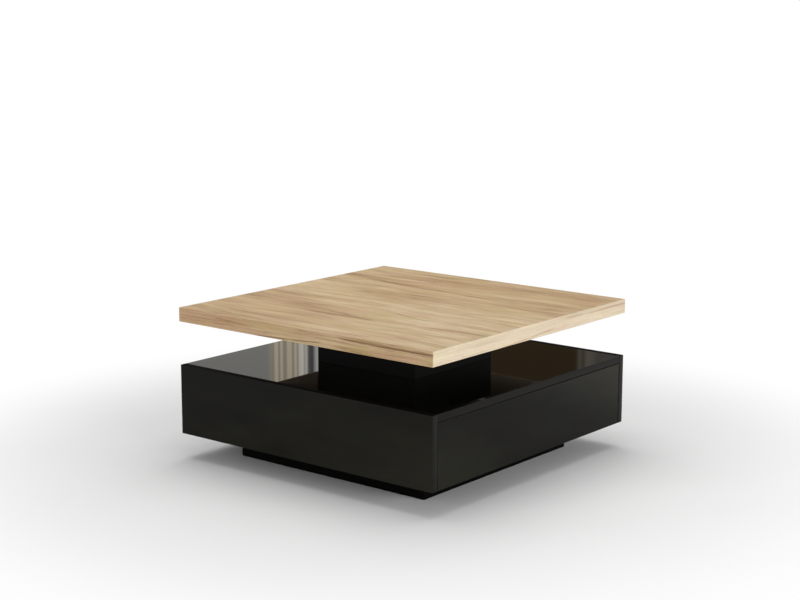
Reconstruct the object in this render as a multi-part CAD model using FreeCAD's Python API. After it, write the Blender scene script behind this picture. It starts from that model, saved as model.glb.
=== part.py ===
import FreeCAD, Part
import math
import os

# Square coffee table with a swivel top.
#
# Frame: origin on the floor under the middle of the table, +Z up. The front drawer opens
# towards -Y, the back drawer towards +Y, and the plain side panels face -X and +X.
# All sizes are in millimetres.

V = FreeCAD.Vector
ALONG_X = V(1, 0, 0)
ALONG_Y = V(0, 1, 0)
UP = V(0, 0, 1)

# ---------------------------------------------------------------- driving dimensions

# Tabletop
top_side = 800.0
top_thickness = 36.0
edge_band = 2.0
top_arris = 1.2

# Body
body_side = 798.0
body_height = 177.0
board = 18.0
board_arris = 0.6
front_gap = 2.0

# Plinth
plinth_set_back = 106.0
plinth_height = 63.0
plinth_block = 40.0
plinth_block_height = 48.0
glide_radius = 8.0
glide_height = 1.0
glide_pin_radius = 1.3
glide_pin_length = 14.0

# Spacer block between the body and the tabletop
spacer_side = 312.0
spacer_height = 98.0
post_side = 28.0

# Swivel bearing
bearing_height = 12.0
plate_side = 300.0
plate_corner = 14.0
plate_thickness = 3.0
race_inner = 100.0
race_outer = 120.0
race_gap = 2.0
neck_wall = 3.0
flange_reach = 5.0
flange_thickness = 1.0
swivel_play = 0.3
swivel_balls = 24
swivel_ball_radius = 2.5
cage_thickness = 1.2
cage_edge = 2.0
upper_screw_radius = 150.0
access_hole_radius = 8.0
access_turn = 12.0

# Drawers
drawer_board = 12.0
drawer_floor = 4.0
drawer_foot_room = 12.0
drawer_head_room = 19.0
drawer_rear_space = 27.0
floor_rise = 12.0
groove_depth = 6.0
groove_play = 0.2
grip_bevel_depth = 10.0
grip_bevel_height = 22.0
drawer_travel = 300.0

# Drawer slides
slide_width = 12.7
slide_height = 45.0
slide_steel = 1.2
slide_web_gap = 0.6
slide_lip_gap = 2.0
slide_set_back = 2.0
slide_end_gap = 3.0
inner_lip_gap = 1.0
outer_ball_radius = 2.0
inner_ball_radius = 1.7
ball_play = 0.3
strip_thickness = 1.2
strip_side_play = 0.7
strip_end_gap = 5.0
balls_in_row = 6

# Fittings
screw_radius = 2.0
screw_fit = 0.05
board_bite = 10.0
post_bite = 24.0
top_bite = 22.0
screw_side_step = 8.0
slide_screw_radius = 1.5
slide_screw_bite = 9.0
slide_screw_margin = 40.0
back_screw_bite = 20.0
back_screw_margin = 22.0
dowel_radius = 4.0
dowel_length = 30.0
dowel_in_face = 12.0
dowel_fit = 0.1
dowel_end_gap = 1.0
cam_radius = 7.5
cam_depth = 13.0
drawer_cam_depth = 9.5
drawer_cam_margin = 30.0
cam_distance = 24.0
cam_drive_radius = 2.2
cam_drive_depth = 1.5
cam_bolt_radius = 2.8
cam_bolt_in_face = 12.0
cam_fit = 0.1
fitting_pitch = 32.0
fitting_end_margin = 60.0
inner_fitting_row = 110.0
partition_dowel_pitch = 250.0
buffer_radius = 4.0
buffer_rest_gap = 0.3
buffer_inset = 60.0

# ---------------------------------------------------------------- places worked out from them

z_body = glide_height + plinth_height
z_shelf = z_body + body_height
z_spacer_top = z_shelf + spacer_height
z_bearing_top = z_spacer_top + bearing_height
z_top = z_bearing_top + top_thickness
z_inside_floor = z_body + board
z_inside_ceiling = z_shelf - board

half_top = top_side / 2
half_body = body_side / 2
half_inside = half_body - board
half_floor_panel = half_body - board - front_gap
half_plinth = half_body - plinth_set_back
half_plinth_inside = half_plinth - board
half_spacer = spacer_side / 2
half_spacer_inside = half_spacer - board
post_middle = half_spacer_inside - post_side / 2

SIDES = (-1, 1)
CORNERS = [(sx, sy) for sx in SIDES for sy in SIDES]

nodes = {}


# ---------------------------------------------------------------- shared shapes

def block(x, y, z):
    """Square-edged block between three (low, high) pairs."""
    return Part.makeBox(x[1] - x[0], y[1] - y[0], z[1] - z[0], V(x[0], y[0], z[0]))


def panel(x, y, z, arris=board_arris):
    """Board whose edges are all eased by a small radius."""
    blank = block(x, y, z)
    return blank.makeFillet(arris, blank.Edges)


def about(middle, half):
    """(low, high) pair that reaches half to each side of middle."""
    return (middle - half, middle + half)


def outward(sign, inner, outer):
    """(low, high) pair from inner to outer, on the side that sign names."""
    return (inner, outer) if sign > 0 else (-outer, -inner)


def disc(radius, z, at=(0.0, 0.0)):
    """Upright cylinder between two heights."""
    return Part.makeCylinder(radius, z[1] - z[0], V(at[0], at[1], z[0]))


def ring(inner, outer, z):
    """Flat ring about the table's upright axis."""
    return disc(outer, z).cut(disc(inner, z))


def wood_screw(head, way, length, radius=screw_radius, fit=0.0):
    """Countersunk screw with its flat head at the point head; fit enlarges it into its hole."""
    shank = radius + fit
    head_height = radius
    tip_height = 2 * radius
    cone = Part.makeCone(2 * radius + fit, shank, head_height, head, way)
    rod = Part.makeCylinder(shank, length - head_height - tip_height, head + way * head_height, way)
    tip = Part.makeCone(shank, shank / 4, tip_height, head + way * (length - tip_height), way)
    return cone.fuse([rod, tip]).removeSplitter()


def screws_and_holes(places, radius=screw_radius):
    """Screws and their holes for a list of (head, way, length)."""
    screws = [wood_screw(head, way, length, radius) for head, way, length in places]
    holes = [wood_screw(head, way, length, radius, screw_fit) for head, way, length in places]
    return screws, holes


def dowel(seat, way, fit=0.0, end_gap=0.0):
    """Dowel across the joint face at seat; way points into the board that is met at its edge."""
    start = seat - way * (dowel_in_face + end_gap)
    return Part.makeCylinder(dowel_radius + fit, dowel_length + 2 * end_gap, start, way)


def dowel_hole(seat, way):
    return dowel(seat, way, dowel_fit, dowel_end_gap)


def cam_bolt(seat, way, fit=0.0):
    """Bolt from the face board, across the joint at seat, to the middle of its cam."""
    length = cam_bolt_in_face + cam_distance + 2 * fit
    return Part.makeCylinder(cam_bolt_radius + fit, length, seat - way * (cam_bolt_in_face + fit), way)


def cam_blank(seat, way, axis, rise, depth, fit=0.0):
    """Round cam sunk into the edge board, with the bolt's axis at rise below the cam's face."""
    face = seat + way * cam_distance - axis * rise
    return Part.makeCylinder(cam_radius + fit, depth + fit, face, axis)


def cam(seat, way, axis, rise, depth):
    """Cam with its drive recess and the seat for the bolt's end."""
    face = seat + way * cam_distance - axis * rise
    drive = Part.makeCylinder(cam_drive_radius, cam_drive_depth, face, axis)
    return cam_blank(seat, way, axis, rise, depth).cut([drive, cam_bolt(seat, way, cam_fit)])


def cams_and_holes(places):
    """Cams, bolts and holes for a list of (seat, way, axis, rise, depth)."""
    cams = [cam(*place) for place in places]
    bolts = [cam_bolt(seat, way) for seat, way, *_ in places]
    holes = [cam_blank(*place, fit=cam_fit) for place in places]
    holes += [cam_bolt(seat, way, cam_fit) for seat, way, *_ in places]
    return cams, bolts, holes


def drill(names, tools):
    """Cuts out of each named board those of the tools that reach it."""
    for name in names:
        reach = nodes[name].BoundBox
        near = [tool for tool in tools if reach.intersect(tool.BoundBox)]
        if near:
            nodes[name] = nodes[name].cut(near)


def group(solids):
    """Like pieces that share a node, kept as separate solids."""
    return Part.makeCompound(solids)


# ---------------------------------------------------------------- plinth

def make_plinth_boards():
    """Four boards in a square, and a cross rail between the left and right boards."""
    z = (glide_height, z_body)
    for name, sign in (("plinth_front", -1), ("plinth_back", 1)):
        nodes[name] = panel(about(0, half_plinth), outward(sign, half_plinth_inside, half_plinth), z)
    for name, sign in (("plinth_left", -1), ("plinth_right", 1)):
        x = outward(sign, half_plinth_inside, half_plinth)
        nodes[name] = panel(x, about(0, half_plinth_inside), z)
    nodes["plinth_cross_rail"] = panel(about(0, half_plinth_inside), about(0, board / 2), z)


def make_plinth_blocks():
    """Corner blocks, screwed sideways into the boards and upwards into the bottom panel."""
    inner = half_plinth_inside - plinth_block
    step = inner + screw_side_step
    far = half_plinth_inside - screw_side_step
    z_foot = z_body - plinth_block_height
    z_low = z_foot + plinth_block_height / 3
    z_high = z_body - plinth_block_height / 3
    blocks = []
    places = []
    for sx, sy in CORNERS:
        x = outward(sx, inner, half_plinth_inside)
        y = outward(sy, inner, half_plinth_inside)
        blocks.append(block(x, y, (z_foot, z_body)))
        places.append((V(sx * far, sy * far, z_foot), UP, plinth_block_height + board_bite))
        places.append((V(sx * inner, sy * step, z_low), ALONG_X * sx, plinth_block + board_bite))
        places.append((V(sx * step, sy * inner, z_high), ALONG_Y * sy, plinth_block + board_bite))
    screws, holes = screws_and_holes(places)
    nodes["plinth_corner_blocks"] = group([solid.cut(holes) for solid in blocks])
    nodes["plinth_screws"] = group(screws)
    drill(["plinth_front", "plinth_back", "plinth_left", "plinth_right", "bottom_panel"], holes)


def make_floor_glides():
    """Nail-in glides under the plinth's corners and the middles of its sides."""
    line = half_plinth - board / 2
    spots = [(sx * line, sy * line) for sx, sy in CORNERS]
    spots += [(0, -line), (0, line), (-line, 0), (line, 0)]
    pin_top = glide_height + glide_pin_length
    glides = []
    holes = []
    for spot in spots:
        foot = disc(glide_radius, (0, glide_height), spot)
        rim = [edge for edge in foot.Edges if edge.BoundBox.ZMax < glide_height / 2]
        foot = foot.makeFillet(glide_height / 3, rim)
        pin = disc(glide_pin_radius, (0, pin_top), spot)
        glides.append(foot.fuse(pin).removeSplitter())
        holes.append(disc(glide_pin_radius + screw_fit, (0, pin_top + screw_fit), spot))
    nodes["floor_glides"] = group(glides)
    drill(["plinth_front", "plinth_back", "plinth_left", "plinth_right"], holes)


# ---------------------------------------------------------------- body

def make_body_boards():
    """Side panels of full height with the top, bottom and partition let in between them."""
    for name, sign in (("side_panel_left", -1), ("side_panel_right", 1)):
        x = outward(sign, half_inside, half_body)
        nodes[name] = panel(x, about(0, half_body), (z_body, z_shelf))
    inside = about(0, half_inside)
    nodes["top_panel"] = panel(inside, about(0, half_body), (z_inside_ceiling, z_shelf))
    nodes["bottom_panel"] = panel(inside, about(0, half_floor_panel), (z_body, z_inside_floor))
    nodes["centre_partition"] = panel(inside, about(0, board / 2), (z_inside_floor, z_inside_ceiling))


def make_body_fittings():
    """Cams, bolts and dowels that join the boards to the sides, and the partition's dowels."""
    outer_row = half_floor_panel - fitting_end_margin
    rows = (-outer_row, -inner_fitting_row, inner_fitting_row, outer_row)
    levels = ((z_body + board / 2, -1), (z_shelf - board / 2, 1))
    cam_places = []
    dowel_places = []
    for side in SIDES:
        into_board = ALONG_X * -side
        for z, turned in levels:
            for row in rows:
                seat = V(side * half_inside, row, z)
                step = V(0, -math.copysign(fitting_pitch, row), 0)
                cam_places.append((seat, into_board, UP * turned, board / 2, cam_depth))
                dowel_places.append((seat + step, into_board))
        for z in (z_inside_floor + fitting_pitch, z_inside_ceiling - fitting_pitch):
            dowel_places.append((V(side * half_inside, 0, z), into_board))
        rail_middle = V(side * half_plinth_inside, 0, (glide_height + z_body) / 2)
        dowel_places.append((rail_middle, into_board))
    for x in (-partition_dowel_pitch, 0, partition_dowel_pitch):
        dowel_places.append((V(x, 0, z_inside_floor), UP))
        dowel_places.append((V(x, 0, z_inside_ceiling), -UP))
    cams, bolts, holes = cams_and_holes(cam_places)
    nodes["body_cams"] = group(cams)
    nodes["body_cam_bolts"] = group(bolts)
    nodes["dowels"] = group([dowel(*place) for place in dowel_places])
    holes += [dowel_hole(*place) for place in dowel_places]
    drill(["side_panel_left", "side_panel_right", "top_panel", "bottom_panel",
           "centre_partition", "plinth_left", "plinth_right", "plinth_cross_rail"], holes)


def make_drawer_buffers():
    """Rubber buffers on the bottom panel's ends, which the drawer fronts close on."""
    length = front_gap - buffer_rest_gap
    x_off = half_inside - buffer_inset
    z = z_body + board / 2
    nodes["drawer_buffers"] = group([
        Part.makeCylinder(buffer_radius, length, V(sx * x_off, sy * half_floor_panel, z), ALONG_Y * sy)
        for sx, sy in CORNERS])


# ---------------------------------------------------------------- spacer block

def make_spacer():
    """Open box of four boards with a top board, on four posts screwed up from inside the body."""
    z = (z_shelf, z_spacer_top)
    for name, sign in (("spacer_front", -1), ("spacer_back", 1)):
        nodes[name] = panel(about(0, half_spacer), outward(sign, half_spacer_inside, half_spacer), z)
    for name, sign in (("spacer_left", -1), ("spacer_right", 1)):
        x = outward(sign, half_spacer_inside, half_spacer)
        nodes[name] = panel(x, about(0, half_spacer_inside), z)
    inside = about(0, half_spacer_inside)
    nodes["spacer_top_board"] = panel(inside, inside, (z_spacer_top - board, z_spacer_top))

    inner = half_spacer_inside - post_side
    step = inner + screw_side_step
    z_post = (z_shelf, z_spacer_top - board)
    z_low = z_post[1] - (z_post[1] - z_post[0]) / 2
    z_high = z_low + screw_side_step
    posts = []
    places = []
    for sx, sy in CORNERS:
        x = outward(sx, inner, half_spacer_inside)
        y = outward(sy, inner, half_spacer_inside)
        posts.append(block(x, y, z_post))
        upright = V(sx * post_middle, sy * post_middle, z_inside_ceiling)
        places.append((upright, UP, board + post_bite))
        places.append((V(sx * inner, sy * step, z_low), ALONG_X * sx, post_side + board_bite))
        places.append((V(sx * step, sy * inner, z_high), ALONG_Y * sy, post_side + board_bite))
    screws, holes = screws_and_holes(places)
    nodes["spacer_posts"] = group([post.cut(holes) for post in posts])
    nodes["spacer_screws"] = group(screws)
    drill(["spacer_front", "spacer_back", "spacer_left", "spacer_right", "top_panel"], holes)


# ---------------------------------------------------------------- swivel bearing

def bearing_plate(z):
    """Square pressed plate with rounded corners."""
    plate = block(about(0, plate_side / 2), about(0, plate_side / 2), z)
    uprights = [edge for edge in plate.Edges if abs(edge.tangentAt(edge.FirstParameter).z) > 0.5]
    return plate.makeFillet(plate_corner, uprights)


def make_bearing():
    """Two plates that turn on a ring of balls, held together by the upper plate's neck."""
    z_plate = (z_spacer_top, z_spacer_top + plate_thickness)
    z_upper = (z_bearing_top - plate_thickness, z_bearing_top)
    z_balls = (z_spacer_top + z_bearing_top) / 2
    z_lower_race = (z_plate[1], z_balls - race_gap / 2)
    z_upper_race = (z_balls + race_gap / 2, z_upper[0])
    z_flange = (z_spacer_top + swivel_play, z_spacer_top + swivel_play + flange_thickness)
    z_pocket = (z_spacer_top, z_flange[1] + swivel_play)
    race_middle = (race_inner + race_outer) / 2
    groove = Part.makeTorus(race_middle, swivel_ball_radius + ball_play, V(0, 0, z_balls))
    neck_outer = race_inner - swivel_play
    neck_inner = neck_outer - neck_wall
    flange_outer = race_inner + flange_reach

    lower = bearing_plate(z_plate).fuse(ring(race_inner, race_outer, z_lower_race))
    lower = lower.cut([disc(race_inner, z_plate), disc(flange_outer + swivel_play, z_pocket), groove])
    neck = ring(neck_inner, neck_outer, (z_flange[0], z_upper_race[0]))
    flange = ring(neck_inner, flange_outer, z_flange)
    upper = bearing_plate(z_upper).fuse([ring(neck_inner, race_outer, z_upper_race), neck, flange])
    upper = upper.cut([disc(neck_inner, z_upper), groove])

    z_cage = about(z_balls, cage_thickness / 2)
    cage = ring(race_inner + cage_edge, race_outer - cage_edge, z_cage)
    balls = []
    seats = []
    for index in range(swivel_balls):
        turn = 2 * math.pi * index / swivel_balls
        spot = (race_middle * math.cos(turn), race_middle * math.sin(turn))
        balls.append(Part.makeSphere(swivel_ball_radius, V(spot[0], spot[1], z_balls)))
        seats.append(disc(swivel_ball_radius + ball_play, z_cage, spot))
    nodes["bearing_lower_plate"] = lower.removeSplitter()
    nodes["bearing_upper_plate"] = upper.removeSplitter()
    nodes["bearing_ball_cage"] = cage.cut(seats)
    nodes["bearing_balls"] = group(balls)


def make_bearing_screws():
    """Screws down into the spacer's posts and up into the tabletop, and the driver's access hole."""
    z_lower_face = z_spacer_top + plate_thickness
    z_upper_face = z_bearing_top - plate_thickness
    corner = upper_screw_radius / math.sqrt(2)
    down = []
    up = []
    for sx, sy in CORNERS:
        head = V(sx * post_middle, sy * post_middle, z_lower_face)
        down.append((head, -UP, plate_thickness + board + post_bite))
        up.append((V(sx * corner, sy * corner, z_upper_face), UP, plate_thickness + top_bite))
    lower_screws, lower_holes = screws_and_holes(down)
    upper_screws, upper_holes = screws_and_holes(up)
    turn = math.radians(45 - access_turn)
    spot = (upper_screw_radius * math.cos(turn), upper_screw_radius * math.sin(turn))
    access = disc(access_hole_radius, (z_spacer_top - board, z_lower_face), spot)
    nodes["bearing_lower_screws"] = group(lower_screws)
    nodes["bearing_upper_screws"] = group(upper_screws)
    drill(["bearing_lower_plate", "spacer_top_board", "spacer_posts"], lower_holes + [access])
    drill(["bearing_upper_plate", "tabletop_board"], upper_holes)


# ---------------------------------------------------------------- tabletop

def make_tabletop():
    """Thick board whose four edges each carry a band, eased together as one outline."""
    z = (z_bearing_top, z_top)
    whole = panel(about(0, half_top), about(0, half_top), z, top_arris)
    core = half_top - edge_band
    nodes["tabletop_board"] = whole.common(block(about(0, core), about(0, core), z))
    for name, sign in (("edge_band_left", -1), ("edge_band_right", 1)):
        strip = block(outward(sign, core, half_top), about(0, half_top), z)
        nodes[name] = whole.common(strip)
    for name, sign in (("edge_band_front", -1), ("edge_band_back", 1)):
        strip = block(about(0, core), outward(sign, core, half_top), z)
        nodes[name] = whole.common(strip)


# ---------------------------------------------------------------- drawers
#
# Everything here is worked out for the front drawer. The back drawer is the same set of
# pieces turned half a turn about the table's upright axis.

front_face = -half_body
front_rear_face = -half_inside
box_rear_face = -(board / 2 + drawer_rear_space)
box_half_width = half_inside - slide_width
box_half_inside = box_half_width - drawer_board
z_box = (z_inside_floor + drawer_foot_room, z_inside_ceiling - drawer_head_room)
z_floor = (z_box[0] + floor_rise, z_box[0] + floor_rise + drawer_floor)
back_inner_face = box_rear_face - drawer_board


def drawer_floor_panel(play=0.0):
    """Thin floor, held in grooves all round; play enlarges it into the grooves."""
    reach = groove_depth + play - groove_play
    x = about(0, box_half_inside + reach)
    y = (front_rear_face - reach, back_inner_face + reach)
    return block(x, y, (z_floor[0] - play, z_floor[1] + play))


def drawer_front():
    """Face board with a bevel behind its lower edge, where the fingers go."""
    face = panel(about(0, half_inside - front_gap), (front_face, front_rear_face),
                 (z_body, z_inside_ceiling - front_gap))
    low = V(0, front_rear_face - grip_bevel_depth, z_body)
    corner = V(0, front_rear_face, z_body)
    high = V(0, front_rear_face, z_body + grip_bevel_height)
    wedge = Part.Face(Part.makePolygon([low, corner, high, low]))
    wedge.translate(V(-half_inside, 0, 0))
    return face.cut(wedge.extrude(V(2 * half_inside, 0, 0)))


def make_drawer_boards(drawer):
    """Face board, two sides, back and floor."""
    drawer["front"] = drawer_front()
    for name, sign in (("left_side", -1), ("right_side", 1)):
        x = outward(sign, box_half_inside, box_half_width)
        drawer[name] = panel(x, (front_rear_face, box_rear_face), z_box)
    drawer["back"] = panel(about(0, box_half_inside), (back_inner_face, box_rear_face), z_box)
    drawer["floor"] = drawer_floor_panel()
    for name in ("front", "left_side", "right_side", "back"):
        drawer[name] = drawer[name].cut(drawer_floor_panel(groove_play))


def make_drawer_fittings(drawer):
    """Cams that hold the sides to the face board, and screws through the sides into the back."""
    cam_places = []
    screw_places = []
    for side in SIDES:
        x = side * (box_half_width - drawer_board / 2)
        for z in (z_floor[1] + drawer_cam_margin, z_box[1] - drawer_cam_margin):
            seat = V(x, front_rear_face, z)
            cam_places.append((seat, ALONG_Y, ALONG_X * side, drawer_board / 2, drawer_cam_depth))
        for z in (z_floor[1] + back_screw_margin, z_box[1] - back_screw_margin):
            head = V(side * box_half_width, box_rear_face - drawer_board / 2, z)
            screw_places.append((head, ALONG_X * -side, drawer_board + back_screw_bite))
    cams, bolts, cam_holes = cams_and_holes(cam_places)
    screws, screw_holes = screws_and_holes(screw_places)
    drawer["cams"] = group(cams + bolts)
    drawer["screws"] = group(screws)
    for name in ("front", "left_side", "right_side"):
        drawer[name] = drawer[name].cut(cam_holes)
    for name in ("left_side", "right_side", "back"):
        drawer[name] = drawer[name].cut(screw_holes)


# ---------------------------------------------------------------- drawer slides
#
# A slide's section is drawn with u, the distance from the body's side panel towards the
# drawer, and v, the height above the slide's middle.

slide_y = (front_rear_face + slide_set_back, box_rear_face - slide_end_gap)
slide_middle_y = (slide_y[0] + slide_y[1]) / 2
slide_z = (z_box[0] + z_box[1]) / 2
strip_half = (slide_y[1] - slide_y[0] - drawer_travel / 2) / 2 - strip_end_gap

cabinet_v = slide_height / 2
outer_ball_v = cabinet_v - slide_steel - ball_play - outer_ball_radius
middle_v = outer_ball_v - outer_ball_radius - ball_play
inner_ball_v = middle_v - slide_steel - ball_play - inner_ball_radius
drawer_rail_v = inner_ball_v - inner_ball_radius - ball_play

middle_web_u = (slide_steel + slide_web_gap, 2 * slide_steel + slide_web_gap)
lip_u = slide_width - slide_lip_gap
drawer_web_u = slide_width - slide_steel
drawer_lip_u = middle_web_u[1] + inner_lip_gap


def slide_block(side, u, y, v):
    """Block in a slide's own section, beside the left (-1) or right (1) side panel."""
    x = outward(side, half_inside - u[1], half_inside - u[0])
    return block(x, y, (slide_z + v[0], slide_z + v[1]))


def channel(side, web_u, lip, v):
    """C-shaped rail: a web, and a flange from it to lip along its upper and lower edges."""
    u = (min(web_u[0], lip), max(web_u[1], lip))
    hollow_u = (web_u[1], lip + slide_steel) if lip > web_u[1] else (lip - slide_steel, web_u[0])
    inner_v = v - slide_steel
    body = slide_block(side, u, slide_y, (-v, v))
    return body.cut(slide_block(side, hollow_u, slide_y, (-inner_v, inner_v)))


def ball_strips(side, u, v, radius):
    """Upper and lower retainer with its row of balls, between two rails."""
    y = about(slide_middle_y, strip_half)
    pitch = 2 * strip_half / balls_in_row
    middle_u = (u[0] + u[1]) / 2
    x = side * (half_inside - middle_u)
    solids = []
    for row_v in (-v, v):
        z = slide_z + row_v
        strip = slide_block(side, u, y, about(row_v, strip_thickness / 2))
        for index in range(balls_in_row):
            spot = V(x, y[0] + pitch * (index + 0.5), z)
            foot = (spot.x, spot.y)
            strip = strip.cut(disc(radius + ball_play, about(z, strip_thickness), foot))
            solids.append(Part.makeSphere(radius, spot))
        solids.append(strip)
    return solids


def make_slides(drawer):
    """The pair of slides beside the drawer, one node for each part that moves by itself."""
    cabinet = []
    middle = []
    inner = []
    outer_strips = []
    inner_strips = []
    outer_u = (slide_steel + strip_side_play, lip_u - strip_side_play)
    inner_u = (middle_web_u[1] + strip_side_play, drawer_web_u - strip_side_play)
    for side in SIDES:
        cabinet.append(channel(side, (0, slide_steel), lip_u, cabinet_v))
        middle.append(channel(side, middle_web_u, lip_u, middle_v))
        inner.append(channel(side, (drawer_web_u, slide_width), drawer_lip_u, drawer_rail_v))
        outer_strips += ball_strips(side, outer_u, outer_ball_v, outer_ball_radius)
        inner_strips += ball_strips(side, inner_u, inner_ball_v, inner_ball_radius)
    drawer["cabinet_rails"] = group(cabinet)
    drawer["middle_rails"] = group(middle)
    drawer["box_rails"] = group(inner)
    drawer["outer_ball_strips"] = group(outer_strips)
    drawer["inner_ball_strips"] = group(inner_strips)


def make_slide_screws(drawer):
    """Screws through the box rails into the box; returns those into the body, and their holes."""
    to_body = []
    to_box = []
    length = slide_steel + slide_screw_bite
    for side in SIDES:
        for y in (slide_y[0] + slide_screw_margin, slide_y[1] - slide_screw_margin):
            cabinet_head = V(side * (half_inside - slide_steel), y, slide_z)
            drawer_head = V(side * (half_inside - drawer_web_u), y, slide_z)
            to_body.append((cabinet_head, ALONG_X * side, length))
            to_box.append((drawer_head, ALONG_X * -side, length))
    body_screws, body_holes = screws_and_holes(to_body, slide_screw_radius)
    box_screws, box_holes = screws_and_holes(to_box, slide_screw_radius)
    drawer["screws"] = group(drawer["screws"].Solids + box_screws)
    drawer["cabinet_rails"] = group([rail.cut(body_holes) for rail in drawer["cabinet_rails"].Solids])
    drawer["box_rails"] = group([rail.cut(box_holes) for rail in drawer["box_rails"].Solids])
    for name in ("left_side", "right_side"):
        drawer[name] = drawer[name].cut(box_holes)
    return body_screws, body_holes


def half_turn(shape):
    """The same piece for the other side of the table."""
    turned = shape.copy()
    turned.rotate(V(0, 0, 0), UP, 180)
    return turned


def make_drawers():
    """Front drawer with its slides, and the back drawer as its twin."""
    drawer = {}
    make_drawer_boards(drawer)
    make_drawer_fittings(drawer)
    make_slides(drawer)
    screws, holes = make_slide_screws(drawer)
    for name, shape in drawer.items():
        nodes["front_drawer_" + name] = shape
        nodes["back_drawer_" + name] = half_turn(shape)
    nodes["cabinet_rail_screws"] = group(screws + [half_turn(screw) for screw in screws])
    drill(["side_panel_left", "side_panel_right"], holes + [half_turn(hole) for hole in holes])


# ---------------------------------------------------------------- the whole table

make_plinth_boards()
make_body_boards()
make_tabletop()
make_plinth_blocks()
make_floor_glides()
make_body_fittings()
make_drawer_buffers()
make_spacer()
make_bearing()
make_bearing_screws()
make_drawers()

os.makedirs("parts", exist_ok=True)
for name, shape in nodes.items():
    shape.exportStep("parts/" + name + ".step")
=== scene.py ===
import math

import bmesh
import bpy
from mathutils import Matrix, Vector


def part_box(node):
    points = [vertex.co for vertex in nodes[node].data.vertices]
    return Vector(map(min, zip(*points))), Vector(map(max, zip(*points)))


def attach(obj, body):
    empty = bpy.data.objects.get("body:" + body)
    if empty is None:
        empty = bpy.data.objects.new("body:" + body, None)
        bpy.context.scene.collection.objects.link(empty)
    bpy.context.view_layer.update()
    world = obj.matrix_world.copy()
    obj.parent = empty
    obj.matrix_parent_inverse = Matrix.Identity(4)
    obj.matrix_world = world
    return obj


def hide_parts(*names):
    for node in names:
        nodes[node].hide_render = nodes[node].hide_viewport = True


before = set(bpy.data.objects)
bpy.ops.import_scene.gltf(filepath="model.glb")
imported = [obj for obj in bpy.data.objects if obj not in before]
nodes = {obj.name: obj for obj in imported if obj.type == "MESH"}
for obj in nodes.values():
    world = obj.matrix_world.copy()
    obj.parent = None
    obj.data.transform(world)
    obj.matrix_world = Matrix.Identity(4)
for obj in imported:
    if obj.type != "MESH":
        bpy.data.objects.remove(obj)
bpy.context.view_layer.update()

# ---- Studio --------------------------------
# The table stands on a plain pale floor that runs out into white on every side. A long soft
# lamp lights the drawer face, a wide one hangs over the top, and a weak one fills the left.


def put(tree, kind, sockets=None, **options):
    """Adds one shader node, sets its options, and fills or links its sockets."""
    made = tree.nodes.new("ShaderNode" + kind)
    for option, value in options.items():
        setattr(made, option, value)
    for socket, value in (sockets or {}).items():
        value = getattr(value, "socket", value)
        if isinstance(value, bpy.types.NodeSocket):
            tree.links.new(value, made.inputs[socket])
        else:
            made.inputs[socket].default_value = value
    return made


class Value:
    """A number that varies over a surface. Each step of arithmetic on it adds a shader node."""

    def __init__(self, socket):
        self.socket = socket
        self.tree = socket.id_data

    def calc(self, operation, *others):
        step = put(self.tree, "Math", dict(enumerate((self, *others))), operation=operation)
        return Value(step.outputs[0])

    def __add__(self, other):
        return self.calc("ADD", other)

    def __sub__(self, other):
        return self.calc("SUBTRACT", other)

    def __mul__(self, other):
        return self.calc("MULTIPLY", other)

    def __abs__(self):
        return self.calc("ABSOLUTE")

    def between(self, low, high):
        """0 below low and 1 above high, with a soft step from one to the other."""
        step = put(self.tree, "MapRange", {"Value": self, "From Min": low, "From Max": high},
                   interpolation_type="SMOOTHSTEP")
        return Value(step.outputs["Result"])

    def spread(self, low, high, start=0.0, end=1.0):
        """Turns what runs from start to end into what runs from low to high."""
        step = put(self.tree, "MapRange", {"Value": self, "From Min": start, "From Max": end,
                                           "To Min": low, "To Max": high})
        return Value(step.outputs["Result"])


def paint(red, green, blue):
    """A colour given as 0 to 255 on a screen, as the shader's own linear values."""
    def linear(share):
        return share / 12.92 if share <= 0.04045 else ((share + 0.055) / 1.055) ** 2.4
    return (linear(red / 255), linear(green / 255), linear(blue / 255), 1.0)


def along_way(tree, place, way):
    """How far a place lies along a direction."""
    step = put(tree, "VectorMath", {0: place, 1: tuple(way)}, operation="DOT_PRODUCT")
    return Value(step.outputs["Value"])


def seen_as_white(tree):
    """1 for the rays that look at the background: straight, mirrored or through glass."""
    path = put(tree, "LightPath").outputs
    straight_or_mirrored = Value(path["Is Camera Ray"]).calc("MAXIMUM", path["Is Glossy Ray"])
    return straight_or_mirrored.calc("MAXIMUM", path["Is Transmission Ray"])


def bare_tree(owner):
    """The node tree of a finish or a sky, emptied."""
    owner.use_nodes = True
    owner.node_tree.nodes.clear()
    return owner.node_tree


def set_down(name, data):
    """A new object in the scene that shows a mesh, a lamp or a lens."""
    made = bpy.data.objects.new(name, data)
    bpy.context.scene.collection.objects.link(made)
    return made


def staged_sheet(name, corners):
    """A flat sheet that isn't part of the table, and the bare node tree of its finish."""
    mesh = bpy.data.meshes.new(name)
    mesh.from_pydata(corners, [], [(0, 1, 2, 3)])
    mesh.materials.append(bpy.data.materials.new(name))
    sheet = set_down(name, mesh)
    return sheet, bare_tree(mesh.materials[0])


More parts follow.
